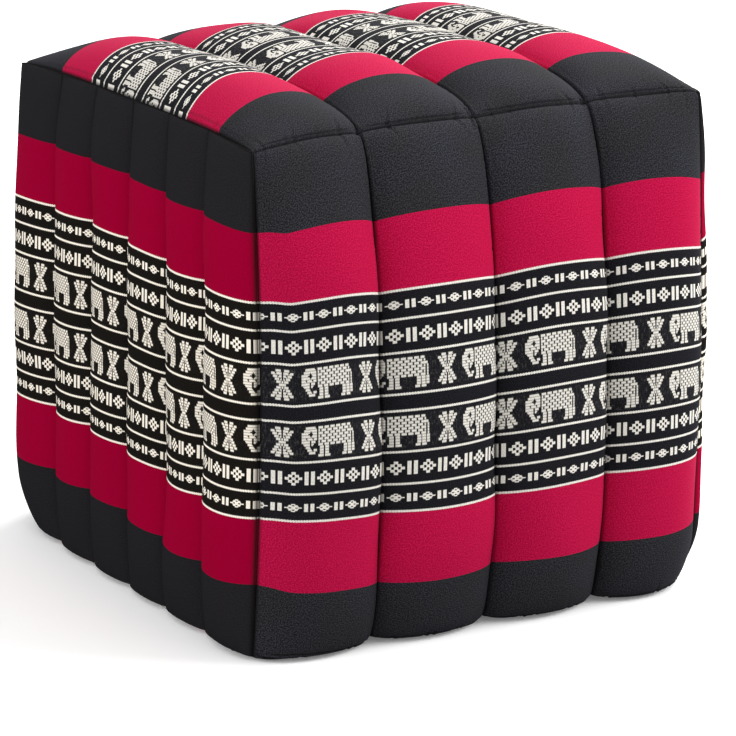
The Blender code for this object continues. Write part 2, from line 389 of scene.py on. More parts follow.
def spread(length: float) -> Array:
    """Places from 0 to 1 along a run, close together at both ends and wide apart in the middle.

    Args:
        length: the run, in metres.

    Returns:
        The places, with both ends.
    """
    places = [0.0]
    while places[-1] < length / 2.0:
        near = smooth_step(np.array(places[-1] / FINE_REACH))
        places.append(places[-1] + FINE + (COARSE - FINE) * float(near))
    first = np.array(places) * (length / 2.0) / places[-1]
    return np.concatenate((first, length - first[-2::-1])) / length


def rounded(count: int, evenness: float = 0.3) -> Array:
    """Places from 0 to 1 across a channel, closer where its sides turn steep."""
    even = np.linspace(0.0, 1.0, count + 1)
    return evenness * even + (1.0 - evenness) * (1.0 - np.cos(math.pi * even)) / 2.0


def outward_normals(across: Array, along: Array) -> Array:
    """Unit normals of a grid from its two directions."""
    normals = np.cross(across, along)
    return normals / np.maximum(np.linalg.norm(normals, axis=-1, keepdims=True), 1e-12)


class Waves:
    """Gentle unevenness of hand-stuffed cloth: a few waves with seeded directions."""

    LENGTHS = (0.7, 1.5)  # of the shortest and the longest, as shares of the typical one

    def __init__(self, seed: int, length: float, count: int = 7) -> None:
        """Draw the waves.

        Args:
            seed: the draw's seed.
            length: the typical wave length, in metres.
            count: how many waves are added up.
        """
        draw = np.random.default_rng(seed)
        turns = draw.uniform(0.0, 2.0 * math.pi, count)
        numbers = 2.0 * math.pi / (length * draw.uniform(*self.LENGTHS, count))
        self.x, self.y = numbers * np.cos(turns), numbers * np.sin(turns)
        self.phase = draw.uniform(0.0, 2.0 * math.pi, count)

    def at(self, x: Array, y: Array) -> Array:
        """Height of the waves, about -1 to 1, at places on the cloth."""
        total = sum(np.sin(a * x + b * y + c) for a, b, c in zip(self.x, self.y, self.phase))
        return total / math.sqrt(len(self.phase))


def make_object(name: str, points: Array, faces: list, corner_uvs: Array, sewn: Array) -> bpy.types.Object:
    """Make one smooth, closed cloth piece.

    Args:
        name: the piece's name.
        points: its vertices.
        faces: its polygons, as lists of vertex numbers.
        corner_uvs: the cloth place of each polygon corner, in order.
        sewn: how much of a stitched line lies at each vertex, for the first ones; the rest have none; the
            cloth's colour darkens there, as thread and as painted crease shade.

    Returns:
        The new object.
    """
    data = bpy.data.meshes.new(name)
    data.from_pydata(points.tolist(), [], faces)
    layer = data.uv_layers.new(name="cloth")
    layer.data.foreach_set("uv", np.ascontiguousarray(corner_uvs, np.float32).ravel())
    # marks of the stitched lines, where the cloth's colour takes thread and painted crease shade
    marks = np.zeros(len(points), np.float32)
    marks[:len(sewn)] = sewn
    data.attributes.new("sewn", "FLOAT", "POINT").data.foreach_set("value", marks)
    data.polygons.foreach_set("use_smooth", [True] * len(data.polygons))
    data.update()
    piece = bpy.data.objects.new(name, data)
    bpy.context.scene.collection.objects.link(piece)
    return piece


def quad_corners(grid: Array) -> Array:
    """Values of a grid at the four corners of each of its quads, in a quad's order."""
    return np.stack((grid[:-1, :-1], grid[:-1, 1:], grid[1:, 1:], grid[1:, :-1]), axis=2)


def numbered(rows: int, columns: int) -> Array:
    """Vertex numbers of a grid, row by row."""
    return np.arange(rows * columns).reshape(rows, columns)


# --- sewing marks -----------------------------------------------------------------------------
@dataclass(frozen=True)
class Tailoring:
    """Small marks that the sewing and stuffing leave in the cloth, in metres and plain strengths. A stitched
    line's strength sets both its crease and the painted shade that darkens the cloth along it.
    """

    crease_depth: float = 0.6 * MM  # a sewn line
    crease_width: float = 0.58 * MM
    lip_height: float = 0.6 * MM  # the folded lip beside a cross seam
    lip_width: float = 2.8 * MM
    lip_power: float = 2.0  # how round it is
    lip_root: float = 0.6
    lip_start: float = 3.0 * MM  # how far from a channel's seam it begins
    lip_fade: float = 9.0 * MM
    lip_line: float = 0.9  # strength of the sewn line beyond it
    top_lip_line: float = 0.35  # and of the one beside a side panel, on the top
    top_lip_place: float = 0.8  # which lies this share of the lip's width away
    channel_line: float = 0.9  # strength of the line in a valley
    outer_narrow: float = 1.2  # how much narrower than a crease: beside a side panel
    inner_narrow: float = 0.7  # and between two lobes, where it is wider
    wander: float = 0.10 * MM  # how far a seam strays, and over what length
    wander_length: float = 11.0 * MM
    wander_waves: int = 5
    rim_height: float = 0.4 * MM  # how the cloth stands up beside a valley, and where
    rim_place: float = 2.0 * MM
    rim_narrow: float = 0.6
    knot_depth: float = 2.0 * MM  # where two seams meet
    knot_size: float = 2.6 * MM
    pleat_depth: float = 0.9 * MM  # gathers beside a cross seam
    pleat_count: int = 7
    pleat_widths: tuple[float, float] = (0.9, 1.7)  # in millimetres
    pleat_lengths: tuple[float, float] = (4.0, 13.0)
    pleat_strengths: tuple[float, float] = (0.3, 1.0)
    pleat_crowding: tuple[float, float] = (0.7, 2.2)  # how they crowd towards a seam's ends
    pleat_slant: float = 0.5  # how far they may lean, sideways over lengthways
    pleat_rise: float = 1.5 * MM  # how far from the seam they rise to their height
    fold_height: float = 0.55  # of the ridge beside a pleat, as a share of the pleat's depth
    fold_place: float = 1.6  # and how many of the pleat's widths away it lies
    valley_pleats: float = 0.6  # depth of those beside a valley, as a share
    valley_reach: float = 0.17  # and how far down from the front-top seam they run
    unevenness: float = 0.7 * MM  # of hand-stuffed cloth
    unevenness_length: float = 85.0 * MM
    smooth_edge: float = 1.2 * MM  # how far beside a lobe's walls all this takes to rise

    def line(self, distance: Array) -> Array:
        """1 along a stitched-down line at distance 0, fading over its width; it sinks the crease and paints
        shade into the colour.
        """
        return np.exp(-((distance / self.crease_width) ** 2))

    def ridge(self, distance: Array) -> Array:
        """Height of a folded lip from distance 0 to its width."""
        return self.lip_height * swell(
            np.clip(distance / self.lip_width, 0.0, 1.0), self.lip_power, self.lip_root)

    def wandering(self, distance: Array, run: Array, seed: int) -> Array:
        """Distance from a seam that isn't quite straight."""
        waves = Waves(seed, self.wander_length, self.wander_waves)
        return distance + self.wander * waves.at(run, np.zeros(1))

    def pleats(self, distance: Array, run: Array, reach: float, seed: int) -> Array:
        """Short pleats square to a seam, gathered towards the ends of its run.

        Args:
            distance: metres from the seam.
            run: metres along it, from its first end.
            reach: the seam's length, in metres.
            seed: sets where the pleats stand.

        Returns:
            Their height, 0 at the seam.
        """
        draw = np.random.default_rng(seed)
        away = np.abs(distance)
        height = np.zeros(np.broadcast(distance, run).shape)
        for number in range(self.pleat_count):
            share = draw.beta(*self.pleat_crowding)
            place = reach * (share if number % 2 else 1.0 - share)
            width = draw.uniform(*self.pleat_widths) * MM
            length = draw.uniform(*self.pleat_lengths) * MM
            across = (run - place - draw.uniform(-self.pleat_slant, self.pleat_slant) * away) / width
            fold = self.fold_height * np.exp(-((across - self.fold_place) ** 2)) - np.exp(-(across ** 2))
            height += draw.uniform(*self.pleat_strengths) * fold * np.exp(-((away / length) ** 2))
        return self.pleat_depth * height * smooth_step(away / self.pleat_rise)

    def knot(self, distance: Array, edge: Array) -> Array:
        """1 where a channel's seam runs into a cross seam, fading around it."""
        return np.exp(-(distance ** 2 + edge ** 2) / self.knot_size ** 2)


# --- the pieces -------------------------------------------------------------------------------
RIM = 1.0 * MM  # thickness of a side panel's rim


class Draw(IntEnum):
    """First seeds of the random draws, so that each seam and piece has its own."""

    CROSS_PLEATS = 0
    VALLEY_PLEATS = 50
    LOBE_WAVES = 90
    PANEL = 200
    CROSS_SEAM = 300
    TOP_SIDE_SEAM = 350


@dataclass
class Lobe:
    """One stuffed chamber: a loop of cloth round front, top, back and underside, with two inner walls."""

    form: CubeForm
    number: int
    tailoring: Tailoring = Tailoring()
    gap: float = 0.3 * MM  # an outer lobe stays this far behind its side panel's rim
    press: float = 0.3 * MM  # and neighbours press into one another at their hidden walls
    rim: float = RIM
    dish: float = 12.0 * MM  # how deep an outer lobe is dished to take its side panel
    upright_run: float = 0.355  # about how long the front and back, and the top and underside, are
    level_run: float = 0.350
    across_steps: int = 96
    fill: float = 0.9

    @property
    def name(self) -> str:
        """The CAD node that the lobe stands for."""
        return f"lobe_{self.number + 1}"

    def wall_x(self, seam: int, side: int, edge: Array) -> Array:
        """X of the lobe's loop where it meets a neighbour.

        Args:
            seam: the lobe seam's number.
            side: -1 on the lobe's left and 1 on its right.
            edge: X of the shared curve there.

        Returns:
            X a little past the seam, as neighbours press together, or inside the side panel's rim.
        """
        if self.form.is_outer(seam):
            return edge - side * (self.rim + self.gap)
        return np.full(edge.shape, self.form.lobe_seams[seam] * self.form.half + side * self.press / 2.0)

    def fitted(self, points: Array) -> Array:
        """Fit a strip of the loop between its two walls."""
        left, right = points[:, :1, 0], points[:, -1:, 0]
        share = (points[..., 0] - left) / (right - left)
        new_left = self.wall_x(self.number, -1, left)
        new_right = self.wall_x(self.number + 1, 1, right)
        moved = points.copy()
        moved[..., 0] = new_left + (new_right - new_left) * share
        return moved

    def strip(self, surface: Callable[[Array, Array], Array], length: float, cut: Cut, backwards: bool,
              from_end: bool) -> tuple[Array, Array]:
        """One face of the loop.

        Args:
            surface: the face, as a function of s and v.
            length: about how long it is, in metres.
            cut: how its cloth is cut.
            backwards: True where the loop runs from v = 1 to v = 0.
            from_end: True where the cut is laid from the face's end at v = 1.

        Returns:
            The strip's points and cloth places, in the loop's order.
        """
        low, high = self.form.lobe_seams[self.number], self.form.lobe_seams[self.number + 1]
        s, v = np.meshgrid(low + (high - low) * rounded(self.across_steps), spread(length))
        points = surface(s, v)
        index, place = np.full(s.shape, self.number), (s - low) / (high - low)
        run = running_length(points, 0)
        share = run / run[-1:]
        share = 1.0 - share if from_end else share
        down = cut.down(share, index, place)
        if cut is FRONT_CUT:
            own = smooth_step((s + 1.0) / CORNER_BLEND)
            corner = LEFT_CUT.down(share, np.zeros(s.shape, int), np.zeros(s.shape))
            down = corner * (1.0 - own) + down * own
        uvs = np.stack((cut.across(points, index, place), down), axis=-1)
        if backwards:
            return points[::-1], uvs[::-1]
        return points, uvs

    def relief(self, points: Array, rows: list[int]) -> tuple[Array, Array]:
        """Sewing marks over the whole loop.

        Args:
            points: the loop, row by row.
            rows: the first row of each of the four faces.

        Returns:
            The height at each point, and how much of a stitched line lies there, from 0 to 1, which also
            darkens the colour as thread and as painted shade in the crease.
        """
        run = running_length(points, 0)
        total = run[-1] + np.linalg.norm(points[0] - points[-1], axis=-1)
        tailor = self.tailoring
        x = points[..., 0]
        from_left, from_right = x - x[:, :1], x[:, -1:] - x
        edge = np.minimum(from_left, from_right)
        width = float(np.median(x[:, -1] - x[:, 0]))
        front_top, top_back, floor_back = (run - run[row] for row in rows[1:4])
        floor_front = np.where(run < total / 2.0, run, run - total)
        height, line = np.zeros(run.shape), np.zeros(run.shape)
        for seed, distance in enumerate((front_top, -top_back, -floor_back, floor_front)):
            distance = tailor.wandering(distance, x, Draw.CROSS_SEAM + 10 * self.number + seed)
            line = np.maximum(line, tailor.line(distance))
            folded = smooth_step((edge - tailor.lip_start) / tailor.lip_fade)
            height += folded * tailor.ridge(distance)
            line = np.maximum(line, tailor.lip_line * folded * tailor.line(distance - tailor.lip_width))
            height += tailor.pleats(distance, from_left, width, Draw.CROSS_PLEATS + 10 * self.number + seed)
            height -= tailor.knot_depth * tailor.knot(distance, edge)
        on_top = (front_top > 0.0) & (top_back < 0.0)
        for side, distance in ((0, from_left), (1, from_right)):
            seam = self.number + side
            narrow = tailor.inner_narrow
            if self.form.is_outer(seam):
                narrow = tailor.outer_narrow
                sunk = tailor.wandering(distance, run, Draw.TOP_SIDE_SEAM + seam)
                sunk = sunk - tailor.top_lip_place * tailor.lip_width
                line = np.maximum(line, tailor.top_lip_line * on_top * tailor.line(sunk))
            line = np.maximum(line, tailor.channel_line * tailor.line(narrow * distance))
            height += tailor.rim_height * tailor.line(tailor.rim_narrow * (distance - tailor.rim_place))
            folds = tailor.pleats(distance, np.abs(front_top), tailor.valley_reach,
                                  Draw.VALLEY_PLEATS + 10 * self.number + side)
            height += tailor.valley_pleats * folds
        height -= tailor.crease_depth * line
        uneven = Waves(Draw.LOBE_WAVES + self.number, tailor.unevenness_length)
        height += tailor.unevenness * uneven.at(x, run)
        return height * smooth_step(edge / tailor.smooth_edge), line

    def build(self) -> bpy.types.Object:
        """Model the lobe as one closed cushion."""
        form = self.form
        strips = [
            self.strip(lambda s, v: form.upright_face(-1, s, v), self.upright_run, FRONT_CUT, False, True),
            self.strip(lambda s, v: form.level_face(1, s, v), self.level_run, TOP_CUT, False, False),
            self.strip(lambda s, v: form.upright_face(1, s, v), self.upright_run, BACK_CUT, True, True),
            self.strip(lambda s, v: form.level_face(-1, s, v), self.level_run, UNDER_CUT, True, False),
        ]
        loop = self.fitted(np.concatenate([points[:-1] for points, _uvs in strips]))
        starts = np.cumsum([0] + [len(points) - 1 for points, _uvs in strips]).tolist()
        along = np.roll(loop, -1, axis=0) - np.roll(loop, 1, axis=0)
        normals = outward_normals(np.gradient(loop, axis=1), along)
        height, line = self.relief(loop, starts[:4])
        loop = loop + normals * column(height)
        loop[..., 2] = np.maximum(loop[..., 2], 0.0)
        rows, columns = loop.shape[:2]
        closed = quad_corners(numbered(rows + 1, columns)) % (rows * columns)
        uvs = [quad_corners(strip_uvs).reshape(-1, 2) for _points, strip_uvs in strips]
        faces = closed.reshape(-1, 4).tolist()
        vertices = [loop.reshape(-1, 3)]
        numbers = numbered(rows, columns)
        for side, ring in ((-1, numbers[:, 0]), (1, numbers[::-1, -1])):
            wall = [ring.tolist()]
            if form.is_outer(self.number + (side > 0)):
                count = sum(len(part) for part in vertices)
                tray, wall = dished_wall(vertices[0][ring], count, ring, side, self.dish)
                vertices.append(tray)
            faces.extend(wall)
            uvs.append(hidden_cloth(wall))
        return make_object(
            self.name + "_cloth", np.concatenate(vertices), faces, np.concatenate(uvs), line.ravel())


def hidden_cloth(faces: list) -> Array:
    """Cloth places for the corners of faces that nobody sees."""
    return np.tile(HIDDEN_CLOTH, (sum(len(face) for face in faces), 1))


def dished_wall(ring_points: Array, first: int, ring: Array, side: int, depth: float,
                inset: float = 0.82) -> tuple[Array, list]:
    """Close a ring with a wall that is dished towards the cube's middle.

    Args:
        ring_points: the ring's points, in its order.
        first: the number of the first new vertex.
        ring: the ring's vertex numbers.
        side: the way from the cube's middle to the wall, along X.
        depth: how deep the dish is, in metres.
        inset: size of the dish's floor, as a share of the ring.

    Returns:
        The new points, and the faces between them and the ring.
    """
    centre = (ring_points.min(axis=0) + ring_points.max(axis=0)) / 2.0
    tray = centre + (ring_points - centre) * inset
    tray[:, 0] = ring_points[:, 0].mean() - side * depth
    new = first + np.arange(len(ring))
    faces = [[int(ring[i]), int(ring[(i + 1) % len(ring)]), int(new[(i + 1) % len(ring)]), int(new[i])]
             for i in range(len(ring))]
    return tray, faces + [new.tolist()]


@dataclass
class SidePanel:
    """One quilted end panel with six upright channels."""

    form: CubeForm
    side: int
    tailoring: Tailoring = Tailoring()
    rim: float = RIM
    dish: float = 11.2 * MM
    upright_run: float = 0.345  # about how tall it is, and how wide each channel
    channel_width: float = 0.057
    channel_steps: int = 30
    channel_line: float = 0.8  # strength of the sewn line between two channels
    edge_narrow: float = 1.4  # how much narrower than a crease the line round the panel is
    pleats: float = 0.7  # depth of its pleats, as a share of a lobe's
    smooth_edge: float = 1.5 * MM  # how far the relief takes to rise beside its edge
    smooth_channel: float = 1.0 * MM  # and beside a channel's seam
    fill: float = 0.9

    @property
    def name(self) -> str:
        """The CAD node that the panel stands for."""
        return "side_panel_left" if self.side < 0 else "side_panel_right"

    def places(self) -> Array:
        """Places across the panel, crowded at each channel's seams."""
        seams = self.form.side_seams
        parts = [low + (high - low) * rounded(self.channel_steps)[:-1] for low, high in zip(seams, seams[1:])]
        return np.concatenate(parts + [np.array([seams[-1]])])

    def cloth(self, points: Array, s: Array) -> Array:
        """Cloth places of the panel's points."""
        cut = LEFT_CUT if self.side < 0 else RIGHT_CUT
        index, place = self.form.channel(s, self.form.side_seams)
        run = running_length(points, 0)
        down = cut.down(1.0 - run / run[-1:], index, place)
        return np.stack((cut.across(points, index, place), down), axis=-1)

    def relief(self, points: Array, s: Array) -> tuple[Array, Array]:
        """Sewing marks over the panel.

        Args:
            points: the panel's grid.
            s: places across it.

        Returns:
            The height at each point, and how much of a stitched line lies there, from 0 to 1, which also
            darkens the colour as thread and as painted shade in the crease.
        """
        tailor = self.tailoring
        run = running_length(points, 0)
        index, place = self.form.channel(s, self.form.side_seams)
        y = points[..., 1]
        top, floor = run[-1:] - run, run
        seed = Draw.PANEL + 20 * self.side
        height = np.zeros(s.shape)
        for number in range(index.max() + 1):
            inside = index == number
            for level, distance in enumerate((top, floor)):
                folds = tailor.pleats(distance, self.channel_width * place, self.channel_width,
                                      seed + 2 * number + level)
                height += np.where(inside, self.pleats * folds, 0.0)
        chord = self.channel_width * np.minimum(place, 1.0 - place)
        height += tailor.unevenness * Waves(seed + 3, tailor.unevenness_length).at(y, run)
        ends = np.minimum(y - y[:, :1], y[:, -1:] - y)
        edge = np.minimum(np.minimum(top, floor), ends)
        line = np.maximum(self.channel_line * tailor.line(chord), tailor.line(self.edge_narrow * edge))
        return height * smooth_step(edge / self.smooth_edge) * smooth_step(chord / self.smooth_channel), line

    def build(self) -> bpy.types.Object:
        """Model the panel as one closed cushion."""
        s, v = np.meshgrid(self.places(), spread(self.upright_run))
        base = self.form.side_face(self.side, s, v)
        normals = self.side * outward_normals(np.gradient(base, axis=1), np.gradient(base, axis=0))
        height, line = self.relief(base, s)
        points = base + normals * column(height)
        cloth = self.cloth(base, s)
        numbers = numbered(*s.shape)
        quads, corners = quad_corners(numbers), quad_corners(cloth)
        ring = np.concatenate((numbers[0, :-1], numbers[:-1, -1], numbers[-1, :0:-1], numbers[:0:-1, 0]))
        if self.side < 0:
            quads, corners = quads[..., ::-1], corners[..., ::-1, :]
            ring = ring[::-1]
        flat = points.reshape(-1, 3)
        back = flat[ring] - np.array((self.side * self.rim, 0.0, 0.0))
        new = numbers.size + np.arange(len(ring))
        after = np.roll(np.arange(len(ring)), -1)
        rim = np.stack((ring, new, new[after], ring[after]), axis=-1)
        ring_cloth = cloth.reshape(-1, 2)[ring]
        rim_cloth = np.stack((ring_cloth, ring_cloth, ring_cloth[after], ring_cloth[after]), axis=1)
        tray, wall = dished_wall(back[::-1], numbers.size + len(ring), new[::-1], self.side, self.dish)
        uvs = np.concatenate((corners.reshape(-1, 2), rim_cloth.reshape(-1, 2), hidden_cloth(wall)))
        faces = quads.reshape(-1, 4).tolist() + rim.tolist() + wall
        return make_object(
            self.name + "_cloth", np.concatenate((flat, back, tray)), faces, uvs, line.ravel())


# --- the woven figures, charted ---------------------------------------------------------------
CROSS_QUARTER = (
    ".....XXXXXX..",
    ".....XXXXXX..",
    "XXXX..XXXXXX.",
    "XXXXX.XXXXXX.",
    "..XXXXX..XXX.",
    "..XXXXX.XXXX.",
    "....XXXXX..X.",
    "....XXXXX.XX.",
    "......XXXXX.X",
    "......XXXXX.X",
    ".........XXXX",
)
# The elephant walks to the left: its head with the curled trunk, and its chequered body, legs and tail.
ELEPHANT_HEAD = (
    ".....XXXXXXXXXXXX.",
    ".....XXXXXXXXXXXXX",
    "...XXXXXXXXXXXXXXX",
    "...XXXXXXXX.XXXXXX",
    "XXXXXXXXXX...XXXXX",
    "XXXXXXXX......XXXX",
    "XXXXXXXXXX...XXXXX",
    "XXXXXXXXXXX.XXXXXX",
    "XXXXX..XXXXXX..XXX",
    "XXXXXX.XXXXXXX.XXX",
    "XXXXXXXXXX..XXXXX.",
    "XXXXXXXXXX..XXXXX.",
    "..XXXXXXXX..XXX...",
    "...XXXXXXX..XX....",
    ".....XXXXX........",
    ".....XXXXXX.......",
    ".......XXXXX...XXX",
    ".......XXXXXX..XXX",
    ".........XXXXXXXX.",
    ".........XXXXXXXX.",
    "..................",
    "..................",
)
ELEPHANT_BODY = (
    "...XXXXXX..XXXXXX..XXXXXX..XXXXXX..XXXXXX..XXXXX......",
    "X..XX..XXXXXX..XXXXXX..XXXXXX..XXXXXX..XXXXXX..XX.....",
    "X..XXXXXX..XXXXXX..XXXXXX..XXXXXX..XXXXXX..XXXXXXXXX..",
    "X..XX..XXXXXX..XXXXXX..XXXXXX..XXXXXX..XXXXXX..XX..XX.",
    "X..XXXXXX..XXXXXX..XXXXXX..XXXXXX..XXXXXX..XXXXXX..XX.",
    "...XX..XXXXXX..XXXXXX..XXXXXX..XXXXXX..XXXXXX..XX..XX.",
    "...XXXXXX..XXXXXX..XXXXXX..XXXXXX..XXXXXX..XXXXXX..XX.",
    ".....XXXXX..XXXXX.....................XXXXX.XXXXX.XXXX",
    "X....XXXXX..XXXXX.....................XXXXX.XXXXX.XXXX",
    ".....XXXXX..XXXXX.....................XXXXX.XXXXX.XXXX",
    "...XXXXXXX..XXXXXXX.................XXXXXX..XXXXXX....",
)
LOZENGE = (
    "........XXXXX........",
    ".....XXXX...XXXX.....",
    "....XXXXXXXXXXXXX....",
    "XXXXX...XXXXX...XXXXX",
    "....XXXXXXXXXXXXX....",
    ".....XXXX...XXXX.....",
    "........XXXXX........",
)
CHEQUER = (
    "........XXXXX........",
    "....XXXXX...XXXXX....",
    "XXXXX...XXXXX...XXXXX",
    "....XXXXX...XXXXX....",
    "........XXXXX........",
)
TWO_BARS = "...XXXXX...XXXXX..."
CROSS = tuple(row + row[::-1] for row in CROSS_QUARTER + CROSS_QUARTER[::-1])
FIGURE_CHART = tuple(cross + 10 * "." + head + ELEPHANT_BODY[number // 2] + 12 * "."
                     for number, (cross, head) in enumerate(zip(CROSS, ELEPHANT_HEAD)))
LOZENGE_CHART = tuple(row + TWO_BARS for row in LOZENGE)
CHEQUER_CHART = tuple(row + TWO_BARS for row in CHEQUER for _twice in range(2))


# --- finishes ---------------------------------------------------------------------------------
class Wiring:
    """A node tree wired from left to right."""

    def __init__(self, tree: bpy.types.NodeTree) -> None:
        """Take an empty node tree."""
        self.tree = tree

    def add(self, kind: str, **settings: object) -> bpy.types.Node:
        """Add a node with its settings."""
        node = self.tree.nodes.new(kind)
        for name, value in settings.items():
            setattr(node, name, value)
        return node

    def feed(self, socket: bpy.types.NodeSocket, value: object) -> None:
        """Wire a socket into another, or set it to a plain value."""
        if isinstance(value, bpy.types.NodeSocket):
            self.tree.links.new(value, socket)
        else:
            socket.default_value = value

    def math(self, operation: str, *terms: object) -> bpy.types.NodeSocket:
        """Calculate with one or more terms.

        Args:
            operation: the name of the operation.
            terms: sockets or numbers.

        Returns:
            The result.
        """
        node = self.add("ShaderNodeMath", operation=operation)
        for socket, term in zip(node.inputs, terms):
            self.feed(socket, term)
        return node.outputs[0]

    def total(self, *terms: object) -> bpy.types.NodeSocket:
        """Add up terms."""
        result = terms[0]
        for term in terms[1:]:
            result = self.math("ADD", result, term)
        return result

    def near(self, value: object, target: float, reach: float) -> bpy.types.NodeSocket:
        """1 where a value lies within reach of a target, 0 elsewhere."""
        return self.math("COMPARE", value, target, reach)

    def mix(self, share: object, first: object, second: object, kind: str = "RGBA") -> bpy.types.NodeSocket:
        """Mix two colours by a share."""
        node = self.add("ShaderNodeMix", data_type=kind, clamp_factor=True)
        sockets = [socket for socket in node.inputs if socket.enabled]
        for socket, value in zip(sockets, (share, first, second)):
            self.feed(socket, value)
        return [socket for socket in node.outputs if socket.enabled][0]

    def noise(self, place: bpy.types.NodeSocket, scale: float, detail: float = 2.0,
              rough: float = 0.5) -> bpy.types.NodeSocket:
        """Noise at a place, from 0 to 1."""
        node = self.add("ShaderNodeTexNoise")
        for name, value in (("Vector", place), ("Scale", scale), ("Detail", detail), ("Roughness", rough)):
            self.feed(node.inputs[name], value)
        return node.outputs["Fac"]


def new_group(name: str, inputs: tuple[str, ...], outputs: tuple[str, ...]) -> tuple[Wiring, dict, dict]:
    """Start a shader node group of plain numbers.

    Args:
        name: the group's name.
        inputs: names of its inputs.
        outputs: names of its outputs.

    Returns:
        Its wiring, its inputs as sockets to read, and its outputs as sockets to feed, by name.
    """
    tree = bpy.data.node_groups.new(name, "ShaderNodeTree")
    for label in inputs:
        tree.interface.new_socket(label, in_out="INPUT", socket_type="NodeSocketFloat")
    for label in outputs:
        tree.interface.new_socket(label, in_out="OUTPUT", socket_type="NodeSocketFloat")
    wiring = Wiring(tree)
    start, end = wiring.add("NodeGroupInput"), wiring.add("NodeGroupOutput")
    given = {label: start.outputs[label] for label in inputs}
    return wiring, given, {label: end.inputs[label] for label in outputs}


@dataclass(frozen=True)
class Row:
    """One row of figures, in millimetres of cloth.

    Attributes:
        chart: the figures, row by row.
        height: how tall they are.
        distance: how far their middle lies from the band's.
        shift: how far along the band the chart begins.
    """

    chart: tuple[str, ...]
    height: float
    distance: float
    shift: float = 0.0


WORD = 10  # squares of a chart that one channel of a colour ramp holds, as binary digits
RAMP = 30  # and that its three channels hold


